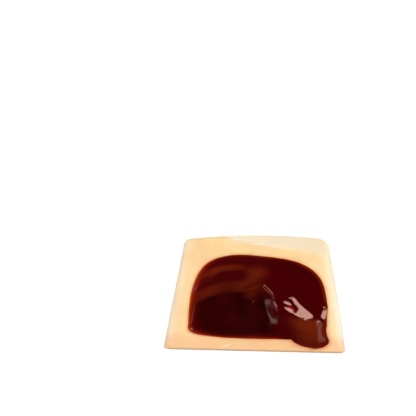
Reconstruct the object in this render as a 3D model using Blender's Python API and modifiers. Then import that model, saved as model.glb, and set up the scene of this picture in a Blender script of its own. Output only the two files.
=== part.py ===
# Hazelnut praline, cut open: the half that is left of a moulded white chocolate praline.
# It stands on its base with the cut face to -Y. The dark filling lies in the shell's hollow,
# is scooped out on the left, and runs out over the lower right of the cut face in one tongue
# that ends in a drip.
#
# Metres, +Z up. The origin is under the middle of the whole, drip included. Everything is
# modelled under the empty "cut_face", which stands in the middle of the shell's lower front edge,
# so "across" is a place along X and "up" a place along Z on the cut face.

import math

import bmesh
import bpy
from mathutils import Vector

MM = 0.001

# Shell: a tapered block with round edges and a slightly domed top. Its cage is a little larger
# than the finished form.
BASE_WIDTH = 30.2 * MM
BASE_DEPTH = 15.6 * MM
HEIGHT = 19.05 * MM
DOME = 0.9 * MM  # how far the top falls towards each flank
TOP_TILT = 0.05  # how steeply the top rises to the right at the back
SIDE_TAPER = 3.15 * MM  # how far each flank leans in over the height
BACK_TAPER = 3.6 * MM
CORNER_RADIUS = 4.2 * MM  # the back's upright corners, seen from above
SIDE_LOOP = 1.5 * MM  # support loops of the cage: the nearer the edge, the sharper it is
CUT_LOOP = 1.1 * MM
BACK_LOOP = 2.2 * MM
TOP_LOOP = 1.2 * MM
BASE_LOOP = 0.35 * MM

# The knife pressed the top down at the cut, from a little left of the middle to the right end.
SAG = 2.15 * MM
SAG_START = -5.4 * MM
SAG_END = 12.0 * MM
SAG_REACH = 12.8 * MM  # how far back the top is pressed down
SAG_EASE = 0.6  # under 1, the top falls fastest where the dent starts
SAG_LOOPS = (-7.4 * MM, -3.6 * MM, 1.0 * MM, 6.8 * MM)  # the cage's loops across the dent
SAG_FADE = (0.35, 0.95)  # shares of the height between which the flanks take up the dent

# Hollow of the shell, as an outline on the cut face: (across, up), clockwise from the lower left.
HOLLOW_OUTLINE = [
    (-10.3, 3.1),
    (-10.95, 5.0),
    (-10.4, 10.2),
    (-8.35, 14.1),
    (-4.3, 15.75),
    (1.5, 15.7),
    (7.2, 14.75),
    (10.6, 12.3),
    (11.85, 8.2),
    (11.9, 4.2),
    (10.9, 2.4),
    (4.0, 2.15),
    (-5.0, 2.3),
]
HOLLOW_DEPTH = 11.2 * MM
HOLLOW_ROUNDING = 1.6 * MM  # where the hollow's walls turn into its back

# Filling: gap to the shell's walls, and the outline of the drip that hangs over the cut face.
GAP = 0.25 * MM
DRIP_OUTLINE = [
    (11.4, 6.0),
    (11.75, 3.8),
    (12.45, 1.9),
    (11.7, 0.95),
    (10.0, 0.55),
    (7.8, 1.15),
    (5.6, 2.1),
    (5.5, 4.5),
    (8.5, 6.2),
]
RELIEF_STEP = 0.42 * MM  # spacing of the points on the filling's front
RELIEF_SMOOTHING = 3  # rounds of a Smooth modifier, each by RELIEF_SMOOTHING_FACTOR
RELIEF_SMOOTHING_FACTOR = 0.5
RELIEF_REACH = 4.0 * MM  # the columns that trim the relief start this far in front of the cut
RELIEF_LOW = (-11.6, 0.2)  # corners of the area that has points: (across, up)
RELIEF_HIGH = (12.9, 16.2)

SUBDIVISIONS = 2
OUTLINE_RESOLUTION = 6  # steps between two points of an outline
ROUNDING_RESOLUTION = 2
WELD = 0.001 * MM
SHARP_ANGLE = 40.0  # degrees from which an edge is shaded sharp

# Linear colours, each with its roughness
WHITE_CHOCOLATE = (0.95, 0.68, 0.37, 1.0)
WHITE_CHOCOLATE_ROUGHNESS = 0.45
DARK_FILLING = (0.065, 0.001, 0.001, 1.0)
DARK_FILLING_ROUGHNESS = 0.12


# The forms of the filling's front. Everything here is in millimetres: u across, v up, and the
# value is how far the surface stands in front of the cut face.

RIM_LEVEL = -0.3  # the filling has sunk a little below the shell's cut edge
# The scoop, read up the cut face as (height, level): in two soft steps at the left, in one at the
# right.
SCOOP_LEFT = [(2.0, -0.35), (9.4, -1.4), (11.8, -0.6), (13.1, -0.74), (14.5, -0.32), (16.0, -0.34)]
SCOOP_RIGHT = [(2.0, -0.35), (8.0, -1.6), (10.4, -1.1), (13.8, -0.38), (16.0, -0.36)]
SCOOP_CHANGE = (-3.2, -0.4)  # places across between which the left reading turns into the right one
SCOOP_ARCH = 0.045  # how much the steps bend down to the left of SCOOP_MIDDLE, per square millimetre
SCOOP_MIDDLE = -3.0
FOOT = (1.2, 5.7)  # the deepest place, at the foot of the lip
FOOT_WIDTH = 1.7
FOOT_REACH = {"up": 2.2, "down": 2.6}
FOOT_DEPTH = 0.5
SHEET_LEVEL = -0.4  # the smooth sheet at the upper right, at the height SHEET_MIDDLE
SHEET_MIDDLE = 9.0
SHEET_RISE = 0.045  # for each millimetre down
# Lip between the scoop on its left and the sheet and tongue on its right, as (v, u).
LIP = [
    (1.0, 3.4),
    (3.2, 3.7),
    (4.5, 3.8),
    (5.5, 3.7),
    (6.6, 3.4),
    (8.7, 2.8),
    (9.3, 2.5),
    (9.95, 1.95),
    (10.7, 1.25),
    (11.8, 1.6),
    (13.1, 2.2),
    (14.6, 2.8),
    (17.0, 3.4),
]
# Width of the wall below the lip, as (v, width).
LIP_WIDTH = [
    (2.0, 4.0),
    (4.0, 3.2),
    (6.0, 2.8),
    (8.3, 2.0),
    (9.6, 0.8),
    (10.6, 0.8),
    (12.2, 1.6),
    (17.0, 2.0),
]
WALL_CURVE = 1.7  # over 1, the wall gets steeper towards the lip
# Bright flat at the sheet's lower edge: it rises on the right of each of these two lines.
FLAT_LINE = ((6.1, 9.1), (9.7, 6.0))
FLAT_RISE = 0.6
FLAT_LEFT_LINE = ((2.6, 7.0), (6.0, 9.3))
FLAT_LEFT_RISE = 1.2
FLAT_BLEND = 0.3  # width over which these slopes run into the rest
# Edge between the sheet with its flat and the tongue below it, as (u, v).
CREST = [
    (-2.0, 8.0),
    (2.9, 7.7),
    (3.5, 7.2),
    (4.5, 6.8),
    (5.6, 6.4),
    (7.2, 5.95),
    (9.5, 5.85),
    (11.5, 5.1),
    (13.5, 4.4),
]
CREST_FALL = 1.2  # the tongue falls at most this steeply from the crest
CREST_RISE = 0.3  # and rises at most this steeply
# Swellings of the tongue: u, v, half length, half width, turn in degrees, height, fullness
TONGUE = [
    (6.0, 5.4, 3.6, 1.9, -30.0, 0.8, 1.0),
    (8.4, 4.2, 3.6, 2.6, -25.0, 1.15, 0.9),
    (10.2, 3.0, 3.2, 3.4, 0.0, 1.5, 0.8),
]
TONGUE_BLEND = 0.9  # width over which two swellings run into each other


def smooth_step(low, high, x):
    t = min(max((x - low) / (high - low), 0.0), 1.0)
    return t * t * (3.0 - 2.0 * t)


def mix(a, b, share):
    return a + (b - a) * share


def smooth_max(a, b, width):
    share = min(max(0.5 + 0.5 * (a - b) / width, 0.0), 1.0)
    return mix(b, a, share) + width * share * (1.0 - share)


def smooth_min(a, b, width):
    return -smooth_max(-a, -b, width)


def bump(u, v, middle, half_width, half_height):
    """1 at the middle, falling softly to 0 around it."""
    return math.exp(-(((u - middle[0]) / half_width) ** 2) - ((v - middle[1]) / half_height) ** 2)


def read_smoothly(points, x):
    """The value at x of a line through (x, value) points, level at each point."""
    if x <= points[0][0]:
        return points[0][1]
    for (x0, value0), (x1, value1) in zip(points, points[1:]):
        if x <= x1:
            return mix(value0, value1, smooth_step(x0, x1, x))
    return points[-1][1]


def read_straight(points, x):
    """The value at x of straight lines from one (x, value) point to the next."""
    for (x0, value0), (x1, value1) in zip(points, points[1:]):
        if x <= x1:
            return mix(value0, value1, max((x - x0) / (x1 - x0), 0.0))
    return points[-1][1]


def right_of_line(line, u, v):
    """Distance to the right of a straight line, looking from its first point to its second."""
    (u0, v0), (u1, v1) = line
    return ((u - u0) * (v1 - v0) - (v - v0) * (u1 - u0)) / math.hypot(u1 - u0, v1 - v0)


def scoop_level(u, v):
    """The scoop on the left, deepest at the foot of the lip."""
    bent = v + SCOOP_ARCH * min(u - SCOOP_MIDDLE, 0.0) ** 2
    share = smooth_step(*SCOOP_CHANGE, u)
    level = mix(read_smoothly(SCOOP_LEFT, bent), read_smoothly(SCOOP_RIGHT, bent), share)
    reach = FOOT_REACH["up" if v > FOOT[1] else "down"]
    return level - FOOT_DEPTH * bump(u, v, FOOT, FOOT_WIDTH, reach)


def sheet_level(u, v):
    """The smooth sheet, and the bright flat that rises from it to the tongue's crest."""
    flat = FLAT_RISE * right_of_line(FLAT_LINE, u, v)
    flat = smooth_min(flat, FLAT_LEFT_RISE * right_of_line(FLAT_LEFT_LINE, u, v), FLAT_BLEND)
    return SHEET_LEVEL + SHEET_RISE * (SHEET_MIDDLE - v) + smooth_max(flat, 0.0, FLAT_BLEND)


def swelling(u, v, spot):
    """One rounded swelling of the tongue, zero outside of its own oval."""
    su, sv, length, width, turn, height, fullness = spot
    c = math.cos(math.radians(turn))
    s = math.sin(math.radians(turn))
    along = ((u - su) * c + (v - sv) * s) / length
    beside = (-(u - su) * s + (v - sv) * c) / width
    return height * max(0.0, 1.0 - along * along - beside * beside) ** fullness


def tongue_level(u, v):
    """The tongue and its drip, tied to the sheet along the crest."""
    tongue = 0.0
    for spot in TONGUE:
        tongue = smooth_max(tongue, swelling(u, v, spot), TONGUE_BLEND)
    crest_height = read_straight(CREST, u)
    below = crest_height - v
    crest_level = sheet_level(u, crest_height)
    level = smooth_min(RIM_LEVEL + tongue, crest_level + CREST_RISE * below, FLAT_BLEND)
    return smooth_max(level, crest_level - CREST_FALL * below, FLAT_BLEND)


def filling_front(u, v):
    right = sheet_level(u, v) if v > read_straight(CREST, u) else tongue_level(u, v)
    width = read_smoothly(LIP_WIDTH, v)
    past_lip = min(max((u - read_straight(LIP, v)) / width + 1.0, 0.0), 1.0)
    return mix(scoop_level(u, v), right, past_lip**WALL_CURVE)


# Objects


def clear_scene():
    for obj in list(bpy.data.objects):
        bpy.data.objects.remove(obj)


def new_collection(name):
    collection = bpy.data.collections.new(name)
    bpy.context.scene.collection.children.link(collection)
    return collection


def material(name, colour, roughness):
    made = bpy.data.materials.new(name)
    made.use_nodes = True
    shader = made.node_tree.nodes["Principled BSDF"]
    shader.inputs["Base Color"].default_value = colour
    shader.inputs["Roughness"].default_value = roughness
    shader.inputs["Metallic"].default_value = 0.0
    return made


def mesh_object(name, bm, collection, parent):
    mesh = bpy.data.meshes.new(name)
    bmesh.ops.recalc_face_normals(bm, faces=bm.faces)
    bm.to_mesh(mesh)
    bm.free()
    obj = bpy.data.objects.new(name, mesh)
    collection.objects.link(obj)
    obj.parent = parent
    return obj


def helper(obj):
    obj.hide_render = True
    obj.display_type = "WIRE"
    return obj


def add_boolean(obj, operation, other):
    modifier = obj.modifiers.new(operation.lower(), "BOOLEAN")
    modifier.operation = operation
    modifier.object = other
    return modifier


def add_loops(bm, axis, places):
    """Cuts the cage all round at each place along one axis."""
    normal = Vector((0.0, 0.0, 0.0))
    normal[axis] = 1.0
    for place in places:
        everything = bm.verts[:] + bm.edges[:] + bm.faces[:]
        bmesh.ops.bisect_plane(bm, geom=everything, plane_co=normal * place, plane_no=normal)


def round_plan_corner(x, y, half_width):
    """Pulls a point near the back's upright corners in to their radius."""
    cx = math.copysign(half_width - CORNER_RADIUS, x)
    cy = BASE_DEPTH - CORNER_RADIUS
    dx, dy = x - cx, y - cy
    if dy <= 0.0 or dx * math.copysign(1.0, x) <= 0.0:
        return x, y
    reach = math.hypot(dx, dy)
    keep = min(1.0, CORNER_RADIUS / reach)
    return cx + dx * keep, cy + dy * keep


def sag_at(x, y):
    across = min(max((x - SAG_START) / (SAG_END - SAG_START), 0.0), 1.0)
    back = min(max(1.0 - y / SAG_REACH, 0.0), 1.0)
    return SAG * across**SAG_EASE * back


def make_shell_block(collection, parent):
    """The whole chocolate block, cut face included, as a coarse cage under a Subdivision Surface."""
    half = BASE_WIDTH / 2
    bm = bmesh.new()
    bmesh.ops.create_cube(bm, size=1.0)
    for v in bm.verts:
        v.co.x *= BASE_WIDTH
        v.co.y = (v.co.y + 0.5) * BASE_DEPTH
        v.co.z = (v.co.z + 0.5) * HEIGHT
    add_loops(bm, 0, [-half + SIDE_LOOP, *SAG_LOOPS, half - SIDE_LOOP])
    add_loops(bm, 1, [CUT_LOOP, BASE_DEPTH * 0.5, BASE_DEPTH - BACK_LOOP])
    add_loops(bm, 2, [BASE_LOOP, HEIGHT * 0.5, HEIGHT - TOP_LOOP])
    for v in bm.verts:
        up = v.co.z / HEIGHT
        x, y = round_plan_corner(v.co.x, v.co.y, half)
        x -= SIDE_TAPER * up * x / half
        y -= BACK_TAPER * up * y / BASE_DEPTH
        fall = sag_at(x, y) + DOME * (x / half) ** 2 - TOP_TILT * x * y / BASE_DEPTH
        v.co = Vector((x, y, v.co.z - fall * smooth_step(*SAG_FADE, up)))
    obj = mesh_object("white_chocolate_shell", bm, collection, parent)
    subdivision = obj.modifiers.new("soft_form", "SUBSURF")
    subdivision.levels = SUBDIVISIONS
    subdivision.render_levels = SUBDIVISIONS
    return obj


def make_column(name, outline, start, end, inset, rounding, collection, parent):
    """A smooth upright outline run through from y = start to y = end, as a closed mesh."""
    curve = bpy.data.curves.new(name, "CURVE")
    curve.dimensions = "2D"
    curve.fill_mode = "BOTH"
    curve.resolution_u = OUTLINE_RESOLUTION
    curve.extrude = (end - start) / 2 - rounding
    curve.bevel_depth = rounding
    curve.bevel_resolution = ROUNDING_RESOLUTION
    curve.offset = -inset - rounding
    spline = curve.splines.new("BEZIER")
    spline.bezier_points.add(len(outline) - 1)
    for point, (across, up) in zip(spline.bezier_points, outline):
        point.co = (across * MM, up * MM, 0.0)
        point.handle_left_type = "AUTO"
        point.handle_right_type = "AUTO"
    spline.use_cyclic_u = True
    drawn = bpy.data.objects.new(name + "_line", curve)
    drawn.rotation_euler.x = math.radians(90.0)
    drawn.location.y = (start + end) / 2
    collection.objects.link(drawn)
    bpy.context.view_layer.update()
    evaluated = drawn.evaluated_get(bpy.context.evaluated_depsgraph_get())
    bm = bmesh.new()
    bm.from_mesh(bpy.data.meshes.new_from_object(evaluated))
    bmesh.ops.transform(bm, matrix=drawn.matrix_world, verts=bm.verts)
    bmesh.ops.remove_doubles(bm, verts=bm.verts, dist=WELD)
    bpy.data.objects.remove(drawn)
    return helper(mesh_object(name, bm, collection, parent))


def make_relief_block(collection, parent):
    """A slab as deep as the hollow whose front has the filling's forms. The columns trim it."""
    low = Vector(RELIEF_LOW) * MM
    high = Vector(RELIEF_HIGH) * MM
    steps_across = round((high.x - low.x) / RELIEF_STEP)
    steps_up = round((high.y - low.y) / RELIEF_STEP)
    bm = bmesh.new()
    bmesh.ops.create_grid(bm, x_segments=steps_across, y_segments=steps_up, size=0.5)
    front = bm.faces[:]
    for v in bm.verts:
        across = mix(low.x, high.x, v.co.x + 0.5)
        up = mix(low.y, high.y, v.co.y + 0.5)
        v.co = Vector((across, -filling_front(across / MM, up / MM) * MM, up))
    extruded = bmesh.ops.extrude_face_region(bm, geom=front, use_keep_orig=True)
    for item in extruded["geom"]:
        if isinstance(item, bmesh.types.BMVert):
            item.co.y = HOLLOW_DEPTH + GAP
    obj = mesh_object("praline_filling", bm, collection, parent)
    smoothing = obj.modifiers.new("soft_relief", "SMOOTH")
    smoothing.factor = RELIEF_SMOOTHING_FACTOR
    smoothing.iterations = RELIEF_SMOOTHING
    return obj


def centre_between_ends(frame, objects):
    """Moves the frame along Y so that the origin is midway between the foremost and the rearmost point."""
    bpy.context.view_layer.update()
    graph = bpy.context.evaluated_depsgraph_get()
    places = []
    for obj in objects:
        finished = obj.evaluated_get(graph)
        places += [(finished.matrix_world @ v.co).y for v in finished.data.vertices]
    frame.location.y -= (min(places) + max(places)) / 2


def shade_smooth(obj):
    obj.data.shade_smooth()
    obj.data.set_sharp_from_angle(angle=math.radians(SHARP_ANGLE))


def main():
    clear_scene()
    praline = new_collection("hazelnut_praline")
    cutters = new_collection("cutters")

    frame = bpy.data.objects.new("cut_face", None)
    praline.objects.link(frame)

    shell = make_shell_block(praline, frame)
    hollow = make_column(
        "hollow", HOLLOW_OUTLINE, -RELIEF_REACH, HOLLOW_DEPTH, 0.0, HOLLOW_ROUNDING, cutters, frame
    )
    add_boolean(shell, "DIFFERENCE", hollow)

    filling = make_relief_block(praline, frame)
    back = HOLLOW_DEPTH - GAP
    column = make_column(
        "filling_column", HOLLOW_OUTLINE, -RELIEF_REACH, back, GAP, HOLLOW_ROUNDING, cutters, frame
    )
    drip = make_column("drip_column", DRIP_OUTLINE, -RELIEF_REACH, -GAP, 0.0, 0.0, cutters, frame)
    add_boolean(column, "UNION", drip)
    add_boolean(filling, "INTERSECT", column)

    shell.data.materials.append(material("white_chocolate", WHITE_CHOCOLATE, WHITE_CHOCOLATE_ROUGHNESS))
    filling.data.materials.append(material("dark_filling", DARK_FILLING, DARK_FILLING_ROUGHNESS))
    shade_smooth(shell)
    shade_smooth(filling)
    centre_between_ends(frame, [shell, filling])


main()
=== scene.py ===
# Hazelnut praline, cut open: white chocolate shell and dark filling, lit and framed.
# Shapes are worked out in millimetres on the cut face: x across, y back into the praline, z up,
# all from the middle of the shell's lower front edge.

import math

import bmesh
import bpy
import numpy as np
from mathutils import Matrix, Vector, noise


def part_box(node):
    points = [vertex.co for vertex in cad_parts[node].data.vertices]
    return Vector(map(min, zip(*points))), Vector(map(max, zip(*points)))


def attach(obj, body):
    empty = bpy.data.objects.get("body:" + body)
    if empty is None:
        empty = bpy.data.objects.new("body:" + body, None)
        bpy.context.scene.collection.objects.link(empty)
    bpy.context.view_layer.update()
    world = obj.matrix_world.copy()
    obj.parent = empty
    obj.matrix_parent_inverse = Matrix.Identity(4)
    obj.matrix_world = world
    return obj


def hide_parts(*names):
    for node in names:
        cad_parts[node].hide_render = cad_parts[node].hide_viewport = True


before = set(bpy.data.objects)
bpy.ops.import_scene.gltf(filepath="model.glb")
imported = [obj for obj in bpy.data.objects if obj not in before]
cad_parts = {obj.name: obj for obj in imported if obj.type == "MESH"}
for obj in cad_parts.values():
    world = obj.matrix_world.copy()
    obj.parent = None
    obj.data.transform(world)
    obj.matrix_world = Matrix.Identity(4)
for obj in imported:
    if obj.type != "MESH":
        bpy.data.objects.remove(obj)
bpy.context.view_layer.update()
shellLow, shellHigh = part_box("white_chocolate_shell")
mm = 0.001
cutFaceY = shellLow.y  # world Y of the cut face


# Small tools


def smoothStep(low, high, x):
    t = np.clip((np.asarray(x, float) - low) / (high - low), 0.0, 1.0)
    return t * t * (3.0 - 2.0 * t)


def mix(a, b, share):
    return a + (b - a) * share


def smoothMax(a, b, width):
    share = np.clip(0.5 + 0.5 * (a - b) / width, 0.0, 1.0)
    return mix(b, a, share) + width * share * (1.0 - share)


def noiseAt(points, size, seed=0.0):
    # Soft noise between about -1 and 1, with features about size millimetres wide.
    shift = Vector((seed * 17.3, seed * 5.1, seed * 9.7))
    return np.array([noise.noise(Vector(p) / size + shift) for p in points])


def linearFromHex(hexColour):
    channels = [int(hexColour[i : i + 2], 16) / 255 for i in (1, 3, 5)]
    linear = [c / 12.92 if c <= 0.04045 else ((c + 0.055) / 1.055) ** 2.4 for c in channels]
    return (*linear, 1.0)


def closedCurve(points, count):
    # A smooth closed line through the points, as count places along it.
    p = np.array(points, float)
    n = len(p)
    t = np.arange(count) * n / count
    i = t.astype(int)
    f = (t - i)[:, None]
    a, b, c, d = p[(i - 1) % n], p[i % n], p[(i + 1) % n], p[(i + 2) % n]
    square, cube = 2 * a - 5 * b + 4 * c - d, 3 * b - a - 3 * c + d
    return 0.5 * (2 * b + (c - a) * f + square * f**2 + cube * f**3)


def addObject(name, bm, material):
    mesh = bpy.data.meshes.new(name)
    mesh.materials.append(material)
    bm.to_mesh(mesh)
    bm.free()
    made = bpy.data.objects.new(name, mesh)
    bpy.context.scene.collection.objects.link(made)
    return made


def makePiece(name, points, faces, material):
    # Points come in cut face millimetres, and the mesh is stored in world metres.
    bm = bmesh.new()
    made = [bm.verts.new((x * mm, y * mm + cutFaceY, z * mm)) for x, y, z in points]
    for face in faces:
        bm.faces.new([made[i] for i in face])
    bmesh.ops.remove_doubles(bm, verts=bm.verts, dist=1e-6)
    bmesh.ops.recalc_face_normals(bm, faces=bm.faces)
    piece = addObject(name, bm, material)
    piece.data.shade_smooth()
    return piece


def meshPoints(piece):
    flat = np.empty(len(piece.data.vertices) * 3)
    piece.data.vertices.foreach_get("co", flat)
    points = flat.reshape(-1, 3) / mm
    points[:, 1] -= cutFaceY / mm
    return points


def storePoints(piece, points):
    world = points * mm
    world[:, 1] += cutFaceY
    piece.data.vertices.foreach_set("co", world.ravel())
    piece.data.update()


def storeValue(piece, name, values):
    # A number for each point that the material can read.
    attribute = piece.data.attributes.new(name, "FLOAT", "POINT")
    attribute.data.foreach_set("value", np.asarray(values, float))


# A colour mix has several sockets of each name, so these go by number
mixShare, mixFirst, mixSecond, mixResult = 0, 6, 7, 2


def addNode(tree, kind, settings=None, links=None):
    # Settings in lower case are the node's own, the others are its sockets.
    node = tree.nodes.new(kind)
    for name, value in (settings or {}).items():
        if isinstance(name, str) and name[0].islower():
            setattr(node, name, value)
        else:
            node.inputs[name].default_value = value
    for name, source in (links or {}).items():
        tree.links.new(source, node.inputs[name])
    return node


def startMaterial(name):
    material = bpy.data.materials.new(name)
    material.use_nodes = True
    material.node_tree.nodes.clear()
    return material, material.node_tree


def finishMaterial(tree, shader):
    addNode(tree, "ShaderNodeOutputMaterial", {}, {"Surface": shader.outputs[0]})


# White chocolate: moulded, so the skin is smooth and pale with a soft sheen. Where the knife went
# through it is yellower and duller, and it lets light in a little way.

whiteChocolate = {
    "skin": "#f0d5a8",
    "cut": "#fbd79e",
    "cutWarm": "#f6cc92",
    # Each of these lies over the ones before it, where the mesh's value of that name says. The pale
    # layer is a painted highlight, low is painted shade and foot is a painted contact shadow
    "layers": {"paleHighlight": "#fdeedd", "low": "#e9b587", "foot": "#a88d78", "fringe": "#e8813a"},
    "mottleSize": 3.0,  # mm, the slow changes of tone
    "mottleRange": (0.35, 0.7),  # from the cut's own tone to its warm one
    "grainSize": 0.25,  # mm, the fine grain
    "grainShare": 0.35,  # how strong it is beside the marks of the knife
    "dragSize": 0.5,  # mm between the marks the knife drew
    "dragStretch": 0.12,  # their size up, as a share of their length across
    "dragTurn": 12.0,  # degrees
    "bump": (0.25, 0.05),  # strength, and depth in mm
    "roughness": 0.5,
    "ior": 1.46,
    "lightDepth": (1.6, 0.8, 0.35),  # mm that red, green and blue light travel inside
    # How much of the light does that; the crumbs are too thin for it
    "glow": {"whiteChocolate": 0.35, "whiteChocolateCrumbs": 0.0},
}


def makeWhiteChocolate(name):
    s = whiteChocolate
    material, tree = startMaterial(name)
    place = addNode(tree, "ShaderNodeTexCoord").outputs["Object"]
    stretch, turn = (s["dragStretch"], 1.0, 1.0), (0.0, math.radians(s["dragTurn"]), 0.0)
    drawnOut = addNode(
        tree, "ShaderNodeMapping", {"Scale": stretch, "Rotation": turn}, {"Vector": place}
    ).outputs["Vector"]
    pattern = {}
    for kind, size, detail, roughness, where in (
        ("mottle", s["mottleSize"], 3.0, 0.5, place),
        ("grain", s["grainSize"], 2.0, 0.6, place),
        ("drag", s["dragSize"], 2.0, 0.5, drawnOut),
    ):
        settings = {"Scale": 1 / (size * mm), "Detail": detail, "Roughness": roughness}
        noisy = addNode(tree, "ShaderNodeTexNoise", settings, {"Vector": where})
        pattern[kind] = noisy.outputs["Fac"]
    start, end = s["mottleRange"]
    warmth = addNode(
        tree,
        "ShaderNodeMapRange",
        {"From Min": start, "From Max": end},
        {"Value": pattern["mottle"]},
    ).outputs[0]
    cut = addNode(tree, "ShaderNodeAttribute", {"attribute_name": "cut"}).outputs["Fac"]
    tones = {mixFirst: linearFromHex(s["cut"]), mixSecond: linearFromHex(s["cutWarm"])}
    cutColour = addNode(
        tree, "ShaderNodeMix", {"data_type": "RGBA", **tones}, {mixShare: warmth}
    ).outputs[mixResult]
    colour = addNode(
        tree,
        "ShaderNodeMix",
        {"data_type": "RGBA", mixFirst: linearFromHex(s["skin"])},
        {mixShare: cut, mixSecond: cutColour},
    ).outputs[mixResult]
    for layer, tone in s["layers"].items():
        share = addNode(tree, "ShaderNodeAttribute", {"attribute_name": layer}).outputs["Fac"]
        colour = addNode(
            tree,
            "ShaderNodeMix",
            {"data_type": "RGBA", mixSecond: linearFromHex(tone)},
            {mixShare: share, mixFirst: colour},
        ).outputs[mixResult]
    marks = addNode(
        tree, "ShaderNodeMath", {"operation": "MULTIPLY"}, {0: pattern["drag"], 1: cut}
    ).outputs[0]
    relief = addNode(
        tree,
        "ShaderNodeMath",
        {"operation": "MULTIPLY_ADD", 1: s["grainShare"]},
        {0: pattern["grain"], 2: marks},
    ).outputs[0]
    strength, depth = s["bump"]
    bump = addNode(
        tree, "ShaderNodeBump", {"Strength": strength, "Distance": depth * mm}, {"Height": relief}
    ).outputs["Normal"]
    shader = addNode(
        tree,
        "ShaderNodeBsdfPrincipled",
        {
            "Roughness": s["roughness"],
            "IOR": s["ior"],
            "Subsurface Weight": s["glow"][name],
            "Subsurface Radius": [d / s["lightDepth"][0] for d in s["lightDepth"]],
            "Subsurface Scale": s["lightDepth"][0] * mm,
        },
        {"Base Color": colour, "Normal": bump},
    )
    finishMaterial(tree, shader)
    return material


# Dark filling: a soft chocolate cream that has flowed, so it is smooth and very glossy, deep
# red-brown in the body. Painted brown glow and reflection lie where it faces down or catches light,
# painted shade darkens its recesses, and it is redder where it lies thin.

darkFilling = {
    "body": "#420003",
    # These lie over it in the same way. Deep is painted shade in the recesses, and brown is painted
    # glow and reflection
    "layers": {"deepShade": "#200000", "brownLight": "#6a1c03", "thin": "#9c1200", "amber": "#c8641e"},
    "amberPower": 4.0,  # amber is thin to this power, so it keeps to the very border
    "roughness": (0.09, 0.17),  # on the smooth sheet, and where the knife left it satin
    "ior": 1.35,
    "glint": "#ffc5b2",  # tint of its reflections
    "mottleSize": 2.0,  # mm
    "bump": (0.1, 0.1),  # strength, and depth in mm
}


def makeDarkFilling():
    s = darkFilling
    material, tree = startMaterial("darkFilling")
    place = addNode(tree, "ShaderNodeTexCoord").outputs["Object"]
    share = {}
    for value in ("deepShade", "brownLight", "thin", "satin"):
        node = addNode(tree, "ShaderNodeAttribute", {"attribute_name": value})
        share[value] = node.outputs["Fac"]
    share["amber"] = addNode(
        tree, "ShaderNodeMath", {"operation": "POWER", 1: s["amberPower"]}, {0: share["thin"]}
    ).outputs[0]
    below = None
    for layer, tone in s["layers"].items():
        colours = {mixFirst: linearFromHex(s["body"]), mixSecond: linearFromHex(tone)}
        links = {mixShare: share[layer]}
        if below:
            links[mixFirst] = below
        below = addNode(
            tree, "ShaderNodeMix", {"data_type": "RGBA", **colours}, links
        ).outputs[mixResult]
    smooth, satin = s["roughness"]
    roughness = addNode(
        tree,
        "ShaderNodeMapRange",
        {"clamp": False, "To Min": smooth, "To Max": satin},
        {"Value": share["satin"]},
    ).outputs[0]
    mottle = addNode(
        tree,
        "ShaderNodeTexNoise",
        {"Scale": 1 / (s["mottleSize"] * mm), "Detail": 3.0, "Roughness": 0.5},
        {"Vector": place},
    ).outputs["Fac"]
    strength, depth = s["bump"]
    bump = addNode(
        tree, "ShaderNodeBump", {"Strength": strength, "Distance": depth * mm}, {"Height": mottle}
    ).outputs["Normal"]
    shader = addNode(
        tree,
        "ShaderNodeBsdfPrincipled",
        {"IOR": s["ior"], "Specular Tint": linearFromHex(s["glint"])},
        {"Base Color": below, "Roughness": roughness, "Normal": bump},
    )
    finishMaterial(tree, shader)
    return material


# Hollow and drip: their outlines on the cut face, shared by shell and filling.

hollow = {
    "outline": [
        (-10.4, 2.85), (-10.95, 5.0), (-10.4, 10.2), (-8.35, 14.1), (-4.3, 15.75), (1.5, 15.7),
        (7.2, 14.75), (10.6, 12.3), (11.85, 8.2), (11.82, 5.5), (11.8, 4.2), (10.9, 2.4),
        (4.0, 2.1), (-5.2, 2.17),
    ],
    "centre": (0.6, 8.6),
    "depth": 11.0,
    "wallRings": (0.15, 1.0, 4.0, 8.0),  # mm behind the cut face, where its wall has points
    "backInset": 0.05,  # how much narrower its back is
}
drip = {
    "outline": [
        (11.4, 6.0), (11.75, 4.2), (12.15, 2.8), (12.5, 1.95), (12.15, 1.35), (11.3, 0.88),
        (10.1, 0.65), (8.9, 0.78), (7.7, 1.05), (6.6, 1.5), (5.6, 1.95), (4.2, 2.3), (4.4, 4.5),
        (8.5, 6.2),
    ],
    "centre": (9.5, 3.2),
}
outlinePlaces = 1440  # around the hollow and the drip


def reachOf(form):
    # How far a form's outline is from its centre in each direction.
    line = closedCurve(form["outline"], outlinePlaces) - np.array(form["centre"])
    angle = np.arctan2(line[:, 1], line[:, 0])
    order = np.argsort(angle)
    reach = np.hypot(line[:, 0], line[:, 1])[order]
    angle = angle[order]
    return lambda a: np.interp(a, angle, reach, period=2 * math.pi)


hollow["reach"], drip["reach"] = reachOf(hollow), reachOf(drip)


def insideForm(form, x, z):
    # Millimetres inside a form's outline, negative outside.
    dx, dz = x - form["centre"][0], z - form["centre"][1]
    return form["reach"](np.arctan2(dz, dx)) - np.hypot(dx, dz)


# Shell

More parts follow.
